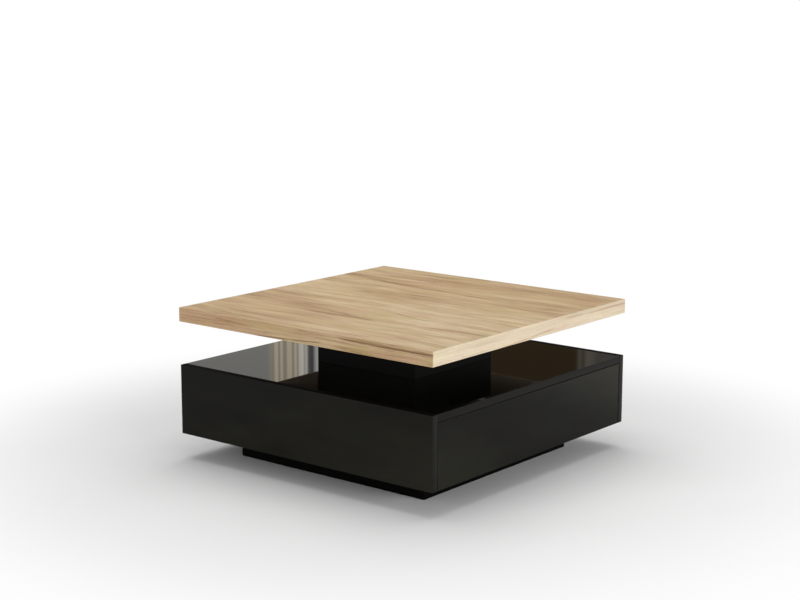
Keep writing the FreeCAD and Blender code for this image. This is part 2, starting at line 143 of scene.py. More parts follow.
def make_floor():
    """Pale near the table, and plain white past a soft edge."""
    half_room = 9.0
    fade_start, fade_end = 0.66, 1.40
    patch_scale = 3.0
    corners = [(x * half_room, y * half_room, 0) for x, y in ((-1, -1), (1, -1), (1, 1), (-1, 1))]
    tree = staged_sheet("floor", corners)[1]
    place = put(tree, "NewGeometry").outputs["Position"]
    distance = Value(put(tree, "VectorMath", {0: place}, operation="LENGTH").outputs["Value"])
    cloud = put(tree, "TexNoise", {"Vector": place, "Scale": patch_scale, "Detail": 3.0})
    shade = put(tree, "ValToRGB", {"Fac": cloud.outputs["Fac"]})
    for stop, grey in zip(shade.color_ramp.elements, (0.91, 0.95)):
        stop.color = (grey, grey, grey, 1)
    matt = put(tree, "BsdfDiffuse", {"Color": shade.outputs["Color"]})
    white = put(tree, "Emission", {"Color": (1, 1, 1, 1), "Strength": 1.0})
    amount = distance.between(fade_start, fade_end) * seen_as_white(tree)
    surface = put(tree, "MixShader", {0: amount, 1: matt.outputs[0], 2: white.outputs[0]})
    put(tree, "OutputMaterial", {"Surface": surface.outputs[0]})


def make_sky():
    """White to look at, and a weak light from all round."""
    fill_light = 0.30
    world = bpy.data.worlds.new("studio_sky")
    bpy.context.scene.world = world
    tree = bare_tree(world)
    fill, white = [put(tree, "Background", {"Color": (1, 1, 1, 1), "Strength": strength}).outputs[0]
                   for strength in (fill_light, 1.0)]
    surface = put(tree, "MixShader", {0: seen_as_white(tree), 1: fill, 2: white})
    put(tree, "OutputWorld", {"Surface": surface.outputs[0]})


def make_softbox(name, place, aim, size, power):
    """A flat lamp that no mirror shows."""
    lamp = bpy.data.lights.new(name, "AREA")
    lamp.shape = "RECTANGLE"
    lamp.size, lamp.size_y = size
    lamp.energy = power
    box = set_down(name, lamp)
    box.location = place
    box.rotation_euler = (Vector(aim) - Vector(place)).to_track_quat("-Z", "Y").to_euler()
    box.visible_glossy = False


view_turn = math.radians(-50.97672)


def make_camera():
    """Long lens, low over the left front corner of the table."""
    rise = math.radians(10.81040)
    roll = math.radians(0.07353)
    place = (-3.206064, -2.581627, 1.180834)
    reach = math.cos(rise)
    back = Vector((math.sin(view_turn) * reach, -math.cos(view_turn) * reach, math.sin(rise)))
    level = Vector((math.cos(view_turn), math.sin(view_turn), 0))
    upright = back.cross(level)
    right = level * math.cos(roll) + upright * math.sin(roll)
    up = upright * math.cos(roll) - level * math.sin(roll)
    lens = bpy.data.cameras.new("camera")
    lens.sensor_width = 36.0
    lens.lens = 74.873
    lens.clip_start = 0.1
    lens.clip_end = 60.0
    camera = set_down("camera", lens)
    turned_view = Matrix((right, up, back)).transposed().to_4x4()
    camera.matrix_world = Matrix.Translation(place) @ turned_view
    bpy.context.scene.camera = camera


def make_mirror_screen():
    """A far folding screen, seen only in mirrors, whose panels stand for a room round the table."""
    far = 8.0
    low, high = 0.9, 4.2
    left, right = -3.4, 3.4
    curtain = (-0.97, -0.70)
    pleat = 0.046
    curtain_glow = 1.34
    fold_depth = 0.33 * 1.5
    panels = ((left, -0.99, (192, 191, 186)),           # pale wall
              (curtain[0], -0.78, (232, 219, 196)),     # pleated curtain
              (-0.745, curtain[1], (255, 249, 237)),    # its edge, with light behind it
              (-0.69, -0.66, (105, 105, 108)),          # grey frame
              (-0.65, -0.60, (245, 244, 241)),          # white post
              (-0.58, 1.30, (76, 63, 45)),              # dark wood
              (1.32, 1.335, (122, 115, 104)),           # door frame
              (1.349, 1.351, (88, 81, 72)),             # groove beside it
              (1.375, 1.42, (133, 125, 114)),           # lit edge of the wall
              (1.45, right, (111, 106, 100)))           # grey wall
    ahead = Vector((math.sin(-view_turn), math.cos(-view_turn), 0))
    aside = Vector((math.cos(-view_turn), -math.sin(-view_turn), 0))
    corners = [ahead * far + aside * side + Vector((0, 0, height))
               for side, height in ((left, low), (right, low), (right, high), (left, high))]
    screen, tree = staged_sheet("mirror_screen", corners)
    side = along_way(tree, put(tree, "NewGeometry").outputs["Position"], aside)
    tone = put(tree, "ValToRGB", {"Fac": side.spread(0.0, 1.0, left, right)})
    stops = [(edge, shade) for start, end, shade in panels for edge in (start, end)]
    ramp = tone.color_ramp.elements
    ramp[0].color = paint(*stops[0][1])
    ramp[1].color = paint(*stops[-1][1])
    for edge, shade in stops[1:-1]:
        ramp.new((edge - left) / (right - left)).color = paint(*shade)
    wander = put(tree, "TexNoise", {"W": side, "Scale": 14.0, "Detail": 1.0}, noise_dimensions="1D")
    turns = side * (2 * math.pi / pleat) + Value(wander.outputs["Fac"]) * 7.0
    folds = turns.calc("SINE").between(0.2, -0.9)
    on_curtain = side.calc("GREATER_THAN", curtain[0]) * side.calc("LESS_THAN", curtain[1])
    strength = on_curtain * (folds * -fold_depth + (curtain_glow - 1.0)) + 1.0
    glow = put(tree, "Emission", {"Color": tone.outputs["Color"], "Strength": strength})
    put(tree, "OutputMaterial", {"Surface": glow.outputs[0]})
    screen.visible_camera = False
    screen.visible_diffuse = False
    screen.visible_shadow = False


make_floor()
make_sky()
make_mirror_screen()
make_softbox("drawer_side_lamp", (-0.3, -3.6, 0.8), (0, 0, 0.3), (3.2, 1.2), 83)
make_softbox("top_lamp", (0.3, 0.4, 3.2), (0, 0, 0.3), (3.0, 3.0), 56)
make_softbox("left_lamp", (-3.4, 0.6, 1.2), (0, 0, 0.25), (2.0, 1.4), 21)
make_camera()
bpy.context.scene.view_settings.view_transform = "Standard"

# ---- Plinth --------------------------------
# Four black melamine boards in a square, with a rail across the middle. Softwood blocks are
# screwed into the corners and up into the body, and thin nail-in glides stand on the floor.

X, Y, Z = 0, 1, 2
sharp_edge = math.radians(40)


class Finish:
    """A finish in the making: a colour in layers, whose marks keep their place on the piece."""

    def __init__(self, name, colour=(0, 0, 0)):
        self.made = bpy.data.materials.new(name)
        self.made.use_nodes = True
        self.tree = self.made.node_tree
        self.place = put(self.tree, "TexCoord").outputs["Object"]
        self.colour = paint(*colour)

    def blotch(self, size, detail=2.0, stretch=(1, 1, 1), offset=0.0):
        """Smooth random spots about size metres across, stretched by a factor along each axis."""
        shares = tuple(1 / (size * share) for share in stretch)
        scaled = put(self.tree, "VectorMath", {0: self.place, 1: shares}, operation="MULTIPLY")
        moved = put(self.tree, "VectorMath", {0: scaled.outputs[0], 1: (offset,) * 3},
                    operation="ADD")
        spots = put(self.tree, "TexNoise", {"Vector": moved.outputs[0], "Scale": 1.0,
                                            "Detail": detail, "Roughness": 0.6})
        return Value(spots.outputs["Fac"])

    def streak(self, size, length, axis, detail=2.0, offset=0.0):
        """The same spots drawn out along one axis only."""
        return self.blotch(size, detail, [length if a == axis else 1.0 for a in (X, Y, Z)], offset)

    def along(self, way):
        """How far each spot lies along a direction."""
        return along_way(self.tree, self.place, way)

    def tint(self, amount, shade):
        """Lays a colour over what is there, by an amount."""
        layers = {0: amount, 6: self.colour, 7: paint(*shade)}
        self.colour = put(self.tree, "Mix", layers, data_type="RGBA").outputs[2]

    def done(self, rough, relief, depth, index=1.5, metal=0.0):
        """The material, with its roughness and a relief of that depth in metres."""
        shader = self.tree.nodes["Principled BSDF"]
        bump = put(self.tree, "Bump", {"Height": relief, "Distance": depth, "Strength": 1.0})
        for socket, value in (("Base Color", self.colour), ("Roughness", rough.socket),
                              ("Normal", bump.outputs["Normal"])):
            self.tree.links.new(value, shader.inputs[socket])
        shader.inputs["IOR"].default_value = index
        shader.inputs["Metallic"].default_value = metal
        return self.made


def dress(names, finish):
    """Puts one finish on CAD pieces whose shape stays as it is."""
    for name in names:
        nodes[name].data.materials.clear()
        nodes[name].data.materials.append(finish)


def make_black_melamine(name, dark, pale, rough, index):
    """Black board with the fine pearl grain of pressed melamine and a little dust."""
    finish = Finish(name, dark)
    pearl = finish.blotch(0.0012, 3.0)
    dust = finish.blotch(0.002, 1.0, offset=4.0).between(0.68, 0.8)
    finish.tint(finish.blotch(0.06, 3.0), pale)
    finish.tint(dust * 0.12, (70, 68, 64))
    return finish.done(pearl.spread(rough - 0.08, rough + 0.08), pearl, 0.00003, index)


def make_softwood(name, grain):
    """Planed softwood with its growth lines along one axis and an odd small knot."""
    finish = Finish(name, (222, 192, 142))
    lines = finish.streak(0.0035, 22.0, grain)
    hairs = finish.streak(0.0007, 22.0, grain, offset=6.0)
    knot = finish.blotch(0.02, 1.0, offset=12.0).between(0.7, 0.78)
    finish.tint(lines.between(0.35, 0.68), (184, 142, 92))
    finish.tint(finish.blotch(0.03) * 0.3, (206, 168, 116))
    finish.tint(hairs * 0.25, (150, 112, 72))
    finish.tint(knot, (112, 70, 40))
    return finish.done(hairs.spread(0.6, 0.8), lines + hairs, 0.0001)


def make_zinc_steel(name, along=Y, dark=(196, 198, 201), pale=(222, 223, 222)):
    """Zinc plate, with the faint lines of rolling along one axis and a dull haze."""
    finish = Finish(name, dark)
    rolled = finish.streak(0.0006, 60.0, along)
    haze = finish.blotch(0.012, 3.0, offset=3.0)
    spots = finish.blotch(0.003, offset=8.0).between(0.62, 0.75)
    finish.tint(haze, pale)
    finish.tint(spots * 0.35, (158, 160, 164))
    return finish.done((haze * rolled).spread(0.2, 0.62), rolled, 0.00002, metal=1.0)


class Solid:
    """One solid of a CAD node: its corner points, its reach, its middle and its longest axis."""

    def __init__(self, corners):
        self.corners = corners
        self.low, self.high = [Vector([end(line) for line in zip(*corners)]) for end in (min, max)]
        self.middle = (self.low + self.high) / 2
        self.size = self.high - self.low
        self.axis = max((X, Y, Z), key=lambda axis: self.size[axis])


def solids_of(name):
    """The separate solids of a CAD node."""
    mesh = bmesh.new()
    mesh.from_mesh(nodes[name].data)
    bmesh.ops.remove_doubles(mesh, verts=mesh.verts, dist=0.00001)
    mesh.verts.index_update()
    mesh.verts.ensure_lookup_table()
    reached = set()
    found = []
    for start in mesh.verts:
        if start.index in reached:
            continue
        reached.add(start.index)
        waiting = [start]
        corners = []
        while waiting:
            corner = waiting.pop()
            corners.append(corner.co.copy())
            for edge in corner.link_edges:
                near = edge.other_vert(corner)
                if near.index not in reached:
                    reached.add(near.index)
                    waiting.append(near)
        found.append(Solid(corners))
    mesh.free()
    return found


def unit(axis, length=1.0):
    """A step of that length along one axis."""
    way = Vector((0, 0, 0))
    way[axis] = length
    return way


def loft(shape, rows, mirrored=False):
    """Adds a closed form to (points, faces): rows of as many points each, capped at both ends."""
    points, faces = shape
    first = len(points)
    count = len(rows[0])
    last = first + (len(rows) - 1) * count
    made = []
    for low in range(first, last, count):
        for step in range(count):
            after = (step + 1) % count
            made.append((low + step, low + after, low + count + after, low + count + step))
    made += [tuple(range(first + count - 1, first - 1, -1)), tuple(range(last, last + count))]
    for row in rows:
        points.extend(row)
    faces.extend(tuple(reversed(face)) if mirrored else face for face in made)


def turned(shape, solid, axis, sign, rings, level=None):
    """Adds a turned form that starts at one end of a solid and runs along sign times its axis.

    Each ring is a list of (distance along, radius).
    """
    foot = solid.middle.copy()
    foot[axis] = solid.low[axis] if sign > 0 else solid.high[axis]
    way = unit(axis, sign)
    level = level or way.orthogonal().normalized()
    aside = way.cross(level)
    sides = len(rings[0])
    outward = []
    for step in range(sides):
        angle = 2 * math.pi * step / sides
        outward.append(level * math.cos(angle) + aside * math.sin(angle))
    loft(shape, [[foot + way * along + out * radius for out, (along, radius) in zip(outward, ring)]
                 for ring in rings])


def mesh_from(name, shape):
    """A mesh with the points and faces of a shape."""
    mesh = bpy.data.meshes.new(name)
    mesh.from_pydata([tuple(point) for point in shape[0]], [], shape[1])
    return mesh


def add_piece(name, shape, finishes, body, stands_for=None):
    """A piece that rides on a body, smooth but for sharp edges, and may stand for a CAD node."""
    mesh = mesh_from(name, shape)
    for finish in finishes:
        mesh.materials.append(finish)
    mesh.shade_smooth()
    mesh.set_sharp_from_angle(angle=sharp_edge)
    piece = set_down(name, mesh)
    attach(piece, body)
    if stands_for:
        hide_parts(stands_for)
    return piece


def round_rings(sides, *places):
    """One round ring at each (distance along, radius)."""
    return [[place] * sides for place in places]


def recess_rings(sides, reach, depth):
    """Rings of a cross-shaped driver recess, from its bottom out to a flat face at zero."""
    arm = sides // 4

    def ring(radius, at_arm, beside, elsewhere):
        depths = {0: at_arm, 1: beside, arm - 1: beside}
        return [(depth * depths.get(step % arm, elsewhere), radius * reach)
                for step in range(sides)]

    return [ring(0.12, 1.0, 1.0, 1.0), ring(0.34, 0.9, 0.45, 0.3), ring(0.42, 0.85, 0.1, 0.0),
            ring(0.88, 0.5, 0.0, 0.0), ring(1.0, 0.0, 0.0, 0.0)]


def thread_rings(sides, start, end, pitch, core, crest, tip=0.0):
    """A thread whose ridge winds round once in each pitch, and thins out over its tip."""
    rings_per_turn = 4
    rings = []
    for row in range(round((end - start) / (pitch / rings_per_turn))):
        along = start + row * pitch / rings_per_turn
        taper = min(1.0, (end - along) / tip) if tip else 1.0
        ring = []
        for step in range(sides):
            phase = (along / pitch - step / sides) % 1.0
            ridge = max(0.0, 1.0 - abs(phase - 0.5) * 4)
            ring.append((along, taper * (core + (crest - core) * ridge)))
        rings.append(ring)
    return rings


def screw_rings(radius, length):
    """Countersunk wood screw: recess, head, plain shank, thread and point."""
    sides = 16
    tip = 2 * radius
    thread_start = radius + 0.3 * (length - radius - tip)
    rings = recess_rings(sides, 1.15 * radius, 0.9 * radius)
    rings += round_rings(sides, (0.0, 1.94 * radius), (0.06 * radius, 2 * radius),
                         (0.2 * radius, 1.96 * radius), (radius, 0.9 * radius),
                         (thread_start, 0.82 * radius))
    rings += thread_rings(sides, thread_start, length, 0.9 * radius, 0.68 * radius, radius, tip)[1:]
    return rings + round_rings(sides, (length, 0.04 * radius))


def make_screws(name, body):
    """Detailed screws for the solids of a node, each with its head at the wide end."""
    end_zone = 0.0002
    shape = ([], [])
    for solid in solids_of(name):
        axis = solid.axis

        def width_at(end):
            return max((corner - solid.middle).length_squared - (end - solid.middle[axis]) ** 2
                       for corner in solid.corners if abs(corner[axis] - end) < end_zone)

        sign = 1 if width_at(solid.low[axis]) > width_at(solid.high[axis]) else -1
        turned(shape, solid, axis, sign, screw_rings(min(solid.size) / 4, solid.size[axis]))
    add_piece("detailed_" + name, shape, [zinc_steel], body, name)


zinc_steel = make_zinc_steel("zinc_steel")
# Painted shade: the plinth's black is darker than the black melamine inside the body, as the shade
# under the body.
dress(["plinth_front", "plinth_back", "plinth_left", "plinth_right", "plinth_cross_rail"],
      make_black_melamine("plinth_black", (2, 2, 1), (6, 6, 4), 0.55, 1.12))
dress(["plinth_corner_blocks"], make_softwood("corner_block_wood", Z))
make_screws("plinth_screws", "base")


def make_moulded_plastic():
    """Injection-moulded black plastic with a fine eroded surface."""
    finish = Finish("moulded_plastic", (20, 20, 21))
    eroded = finish.blotch(0.0005, 3.0)
    scuff = finish.blotch(0.004, 4.0, offset=2.0).between(0.55, 0.7)
    finish.tint(scuff, (42, 41, 40))
    return finish.done(eroded.spread(0.45, 0.65), eroded, 0.00004)


moulded_plastic = make_moulded_plastic()
dress(["floor_glides"], moulded_plastic)

# ---- Body boards ---------------------------
# The body's outer boards are chipboard faced with a warm black high-gloss foil. Every cut edge
# that shows carries a thin plastic band in the same black: satin upright, quite matt on top.

low_body, high_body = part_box("side_panel_left")
z_body = low_body.z
z_shelf = high_body.z
half_body = high_body.y
x_outer = -low_body.x
board = high_body.x - low_body.x


def make_gloss_black(name, index, dark=(12, 11, 4), pale=(24, 23, 13), rough=0.05, wave=0.00001,
                     lean=(0, 0, 0), reflection_and_shade_sweeps=()):
    """High-gloss foil: a slight orange peel, smears that run level, and a little dust. The smears
    also lay a painted cloudy reflection into the colour, and painted shade darkens the upper band
    of an upright face, under the tabletop.

    Painted reflections of the room lie across it as pale sweeps, and painted shade as dark ones:
    each runs from one place to another along the leaning direction, and has its share and its
    colour.
    """
    finish = Finish(name, dark)
    smear_and_reflection = finish.blotch(0.07, 4.0, (3.5, 3.5, 1.0))
    wiped = finish.blotch(0.03, 3.0, (4.0, 4.0, 1.0), 5.0)
    dust = finish.blotch(0.0018, 1.0, offset=4.0).between(0.72, 0.82)
    peel = finish.blotch(0.009, 1.0)
    upper = finish.along(unit(Z)).between(0.17, 0.235)
    slanted = finish.along(lean) + wiped.spread(-0.08, 0.08)
    # Painted reflection: the level smears lay a cloudy pale reflection into the colour; in the
    # roughness they are real smears.
    finish.tint(smear_and_reflection.between(0.28, 0.68), pale)
    # Painted shade: the upper band of an upright face darkens where the tabletop overhangs it.
    finish.tint(upper * 0.35, (4, 3, 1))
    # Painted reflections of the room as pale sweeps, and painted shade as dark ones.
    for start, end, share, shade in reflection_and_shade_sweeps:
        finish.tint(slanted.between(start, end) * share, shade)
    finish.tint(dust * 0.10, (90, 86, 78))
    return finish.done(smear_and_reflection.spread(0.0, rough) + wiped.spread(rough / 5, rough), peel, wave, index)


def make_edge_black(name, dark, pale, rough, index, painted_light=None):
    """Plastic edge band, with the fine ripple that the trimming knife leaves along it.

    Painted light may pale it: the last argument says from which X to which that grows, and its
    colour.
    """
    finish = Finish(name, dark)
    ripple = finish.blotch(0.0014)
    finish.tint(finish.blotch(0.05, 3.0, (2.0, 2.0, 1.0)), pale)
    if painted_light:
        start, end, shade = painted_light
        # Painted light, paler towards low X.
        finish.tint(finish.along(unit(X)).between(start, end), shade)
    return finish.done(ripple.spread(rough - 0.06, rough + 0.06), ripple, 0.00002, index)


def band_strip(shape, out, face, width, length):
    """Adds one band with rounded edges on the face of a board that looks along out.

    Its width and its length each have their axis, their start and their end.
    """
    thick = 0.0006
    proud = 0.00006
    inset = 0.00015
    rim = 0.0003
    rim_steps = 4
    across, along = unit(width[0]), unit(length[0])
    middle = (width[1] + width[2]) / 2
    half = (width[2] - width[1]) / 2 - inset
    outline = [(-half, -thick)]
    for step in range(rim_steps + 1):
        angle = math.pi / 2 * step / rim_steps
        outline.append((-half + rim - rim * math.cos(angle), proud - rim + rim * math.sin(angle)))
    outline += [(-place, rise) for place, rise in reversed(outline)]
    near, far = length[1] + inset, length[2] - inset
    stations = ((near, thick), (near + rim, 0.0), (far - rim, 0.0), (far, thick))
    rows = [[across * (middle + place) + along * position + out * (face + min(rise, proud - drop))
             for place, rise in outline] for position, drop in stations]
    loft(shape, rows, across.cross(along).dot(out) < 0)


def add_bands(name, finish, body, *strips):
    """The bands of a board, as one piece."""
    shape = ([], [])
    for strip in strips:
        band_strip(shape, *strip)
    add_piece(name, shape, [finish], body)


gloss_black_top = make_gloss_black("gloss_black_top", 1.335, (12, 12, 8), (19, 19, 14),
                                   0.02, 0.000003)
# Side panel foil: its pale sweep is painted reflection, towards the front and low down, and its
# dark sweep is painted shade, at the back and high up.
gloss_black = make_gloss_black(
    "gloss_black_foil", 1.185, lean=(0, -1, -2.2),
    reflection_and_shade_sweeps=[(-0.30, 0.30, 0.8, (36, 35, 28)), (-0.35, -0.85, 0.8, (4, 3, 1))])
# Drawer-face foil: a copy of the side foil with its black painted darker to offset the stronger
# light on the drawer faces (painted shade), and pale sweeps of painted reflection towards high X up
# high and towards low X low down.
gloss_black_front = make_gloss_black(
    "gloss_black_front_foil", 1.17, (4, 3, 0), (12, 11, 4), lean=(1, 0, 2.6),
    reflection_and_shade_sweeps=[(0.46, 1.06, 1.0, (40, 39, 31)), (0.28, -0.18, 0.4, (40, 40, 32))])
edge_satin = make_edge_black("edge_band_satin", (15, 14, 9), (21, 20, 14), 0.2, 1.2)
edge_matt = make_edge_black("edge_band_matt", (9, 8, 6), (14, 13, 10), 0.6, 1.06)
edge_level = make_edge_black("edge_band_level", (8, 7, 3), (14, 13, 8), 0.2, 1.18)
# Drawer-face bands: painted light pales them towards low X, lifting the shade in the seams above
# the drawer faces at that end.
edge_painted_light = make_edge_black("edge_band_painted_light", (15, 14, 9), (21, 20, 14), 0.2, 1.2,
                            (0.25, -0.20, (48, 47, 40)))
dress(["top_panel"], gloss_black_top)
dress(["side_panel_left", "side_panel_right"], gloss_black)

long_way = (Y, -half_body, half_body)
tall_way = (Z, z_body, z_shelf)
for name, side in (("side_panel_left", -1), ("side_panel_right", 1)):
    thickness = (X, *sorted((side * x_outer, side * (x_outer - board))))
    add_bands(name + "_level_bands", edge_matt, "base",
              (unit(Z), z_shelf, thickness, long_way), (unit(Z, -1), -z_body, thickness, long_way))
    add_bands(name + "_upright_bands", edge_satin, "base",
              *((unit(Y, way), half_body, thickness, tall_way) for way in (-1, 1)))

low_top, high_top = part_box("top_panel")
add_bands("top_panel_edge_bands", edge_level, "base",
          *((unit(Y, way), half_body, (Z, low_top.z, high_top.z), (X, low_top.x, high_top.x))
            for way in (-1, 1)))

# ---- Inside of the body --------------------
# The bottom panel and the partition between the two drawers are plain black melamine board.
# Turning cams, their bolts and beech dowels join the boards, and rubber stops meet the drawers.

dress(["bottom_panel", "centre_partition"],
      make_black_melamine("inside_black", (14, 14, 14), (22, 22, 21), 0.5, 1.4))


def make_cast_zinc():
    """Die-cast zinc, dull grey with a soft sparkle."""
    finish = Finish("cast_zinc", (158, 160, 163))
    grain = finish.blotch(0.0004, 3.0)
    finish.tint(finish.blotch(0.004, offset=1.0), (190, 191, 192))
    return finish.done(grain.spread(0.35, 0.6), grain, 0.00005, metal=1.0)


def make_beech():
    """Pale beech with the short dark flecks of its rays."""
    finish = Finish("beech", (224, 190, 150))
    fleck = finish.streak(0.0006, 5.0, X, 1.0).between(0.62, 0.7)
    cloud = finish.streak(0.006, 4.0, X, 3.0, 2.0)
    finish.tint(cloud, (200, 160, 118))
    finish.tint(fleck * 0.6, (150, 104, 70))
    return finish.done(cloud.spread(0.55, 0.7), fleck, 0.00005)


def make_rubber():
    """Soft black rubber with a chalky bloom."""
    finish = Finish("black_rubber", (18, 18, 18))
    grain = finish.blotch(0.0003)
    finish.tint(finish.blotch(0.003, 4.0), (44, 43, 42))
    return finish.done(grain.spread(0.7, 0.9), grain, 0.00003)


def cam_rings(radius, depth, track):
    """Turning cam: driver recess, marked rim, and a track round it that is cut deep on one side."""
    sides = 32
    mark_every = 8
    edge = 0.0008
    track_slope = 0.0002
    back_edge = 0.0005
    deep_half = 0.28
    deep_cut, shallow_cut = 0.62 * radius, 0.22 * radius
    cuts = [deep_cut if min(step, sides - step) / (sides / 2) < deep_half else shallow_cut
            for step in range(sides)]
    rings = recess_rings(sides, 0.42 * radius, 0.003) + round_rings(sides, (0.0, 0.72 * radius))
    rings.append([(edge / 2 if step % mark_every else 0.0, 0.78 * radius) for step in range(sides)])
    rings += round_rings(sides, (0.0, 0.84 * radius), (0.0, radius - edge),
                         (edge / 2, radius - edge / 8), (edge, radius), (track[0], radius))
    rings += [[(along, radius - cut) for cut in cuts]
              for along in (track[0] + track_slope, track[1] - track_slope)]
    return rings + round_rings(sides, (track[1], radius), (depth - back_edge, radius),
                               (depth, radius - back_edge))


def bolt_rings(radius, length, bite):
    """Cam bolt: coarse thread, collar, plain stem, and a ball end on a thin neck."""
    sides = 16
    pitch = 0.0016
    tip = 0.001
    collar = [(bite - 0.0008, 0.7), (bite - 0.0006, 1.0), (bite + 0.0006, 1.0)]
    stem = [(bite + 0.0009, 0.62), (length - 0.0065, 0.62)]
    neck = [(length - 0.006, 0.45), (length - 0.0038, 0.45)]
    ball = [(length - 0.0034, 0.8), (length - 0.0024, 0.98), (length - 0.0012, 0.86),
            (length - 0.0004, 0.5), (length, 0.1)]
    rings = round_rings(sides, (0.0, 0.3 * radius), (0.0008, 0.6 * radius))
    rings += thread_rings(sides, tip, bite - tip, pitch, 0.72 * radius, radius)
    return rings + [[(along, share * radius)] * sides
                    for along, share in collar + stem + neck + ball]


def dowel_rings(radius, length):
    """Fluted dowel with chamfered ends."""
    sides = 24
    tip, chamfer, flute_start = (0.0, 0.72 * radius), (0.0015, 0.93 * radius), 0.0022
    flutes = [radius * (0.93 if step % 2 else 1.0) for step in range(sides)]
    rings = round_rings(sides, tip, chamfer)
    rings += [[(along, flute) for flute in flutes] for along in (flute_start, length - flute_start)]
    return rings + round_rings(sides, *((length - along, reach) for along, reach in (chamfer, tip)))


cast_zinc = make_cast_zinc()
beech = make_beech()
dress(["drawer_buffers"], make_rubber())

cam_track = (0.0042, 0.0118)
cams = ([], [])
for solid in solids_of("body_cams"):
    turned(cams, solid, Z, 1 if solid.middle.z > (z_body + z_shelf) / 2 else -1,
           cam_rings(solid.size.x / 2, solid.size.z, cam_track),
           unit(X, math.copysign(1, solid.middle.x)))
add_piece("detailed_body_cams", cams, [cast_zinc], "base", "body_cams")

bolt_bite = 0.012
bolts = ([], [])
for solid in solids_of("body_cam_bolts"):
    turned(bolts, solid, X, -math.copysign(1, solid.middle.x),
           bolt_rings(solid.size.y / 2, solid.size.x, bolt_bite))
add_piece("detailed_body_cam_bolts", bolts, [zinc_steel], "base", "body_cam_bolts")

fluted = ([], [])
for solid in solids_of("dowels"):
    turned(fluted, solid, solid.axis, 1,
           dowel_rings(solid.size[(solid.axis + 1) % 3] / 2, solid.size[solid.axis]))
add_piece("fluted_dowels", fluted, [beech], "base", "dowels")

# ---- Drawer slides -------------------------
# Full-height steel slides in three parts: a rail on the side panel, a middle rail, and a rail on
# the drawer box, roll-formed from zinc plate, with balls in thin strips between them.

slide_steel = 0.0012
slide_bend = 0.0021


def channel_outline(web, lip, middle, half):
    """Section of a roll-formed rail as (x, z) corners: a web, and a lip along each edge."""
    opens = 1 if lip > web else -1
    bend_steps = 5
    turn_x, turn_z = web + opens * slide_bend, half - slide_bend

    def bent(reach, edge, z_sign):
        """Corners of one side of the sheet, from its lip round one bend to its web."""
        corners = [(lip, z_sign * edge)]
        for step in range(bend_steps + 1):
            angle = math.pi / 2 * step / bend_steps
            corners.append((turn_x - opens * reach * math.sin(angle),
                            z_sign * (turn_z + reach * math.cos(angle))))
        return corners

    outer, inner = (slide_bend, half), (slide_bend - slide_steel, half - slide_steel)
    outline = bent(*outer, 1) + bent(*outer, -1)[::-1] + bent(*inner, -1) + bent(*inner, 1)[::-1]
    return [(x, middle + z) for x, z in outline]


def swept(shape, outline, start, end):
    """Adds a straight bar of that (x, z) section from start to end along y."""
    loft(shape, [[Vector((x, y, z)) for x, z in outline] for y in (start, end)])


def tidy_normals(mesh):
    """Turns every face of a mesh outwards."""
    work = bmesh.new()
    work.from_mesh(mesh)
    bmesh.ops.recalc_face_normals(work, faces=work.faces)
    work.to_mesh(mesh)
    work.free()


def punch(piece, slots):
    """Cuts slots through webs, each (middle, half length along y, radius, half depth along x)."""
    sides = 12
    shape = ([], [])
    for middle, half_length, radius, half_depth in slots:
        rim = []
        for step in range(sides):
            angle = 2 * math.pi * (step + 0.5) / sides
            shift = math.copysign(half_length, math.cos(angle))
            rim.append((shift + radius * math.cos(angle), radius * math.sin(angle)))
        loft(shape, [[middle + Vector((depth, *spot)) for spot in rim]
                     for depth in (-half_depth, half_depth)])
    mesh = mesh_from("punch", shape)
    tidy_normals(mesh)
    tool = set_down("punch", mesh)
    cut = piece.modifiers.new("slots", "BOOLEAN")
    cut.operation = "DIFFERENCE"
    cut.solver = "EXACT"
    cut.object = tool
    bpy.context.view_layer.update()
    seen = piece.evaluated_get(bpy.context.evaluated_depsgraph_get())
    cut_mesh = bpy.data.meshes.new_from_object(seen)
    piece.modifiers.clear()
    piece.data = cut_mesh
    bpy.data.objects.remove(tool)
    cut_mesh.set_sharp_from_angle(angle=sharp_edge)


def lug(shape, x, y, z):
    """Adds a small bent lug: a block between (low, high) pairs, narrower at its free upper edge."""
    narrow = 0.25 * (x[1] - x[0])
    shoulder = z[0] + 0.6 * (z[1] - z[0])
    swept(shape, [(x[0], z[0]), (x[1], z[0]), (x[1], shoulder), (x[1] - narrow, z[1]),
                  (x[0] + narrow, z[1]), (x[0], shoulder)], *y)


def make_rail(name, body, web_outside, slots, lug_rise=None):
    """Both rails of one kind, with slots along them and lugs in the ball tracks at their ends."""
    lug_reach = (0.0020, 0.0062)
    shape = ([], [])
    holes = []
    for solid in solids_of(name):
        low, high = solid.low, solid.high
        near, far = (low.x, high.x) if low.x > 0 else (high.x, low.x)
        web, lip = (far, near) if web_outside else (near, far)
        middle, half = (low.z + high.z) / 2, (high.z - low.z) / 2
        swept(shape, channel_outline(web, lip, middle, half), low.y, high.y)
        opens = 1 if lip > web else -1
        for share, length, radius in slots:
            spot = Vector((web + opens * slide_steel / 2, low.y + share * (high.y - low.y), middle))
            holes.append((spot, length / 2, radius, slide_steel * 1.5))
        if lug_rise:
            x = sorted(web + opens * reach for reach in lug_reach)
            inner = half - slide_steel
            for y in ((low.y, low.y + slide_steel), (high.y - slide_steel, high.y)):
                lug(shape, x, y, (middle + inner, middle + inner - lug_rise))
                lug(shape, x, y, (middle - inner, middle - inner + lug_rise))
    rails = add_piece("rolled_" + name, shape, [zinc_steel], body, name)
    tidy_normals(rails.data)
    punch(rails, holes)


def make_ball_steel():
    """Hardened, polished steel with a thin smear of grease."""
    finish = Finish("ball_steel", (206, 207, 208))
    grease = finish.blotch(0.003, 3.0)
    scratch = finish.streak(0.0004, 6.0, X, offset=3.0)
    finish.tint(grease, (186, 184, 174))
    return finish.done(grease.spread(0.06, 0.22), scratch, 0.000005, metal=1.0)


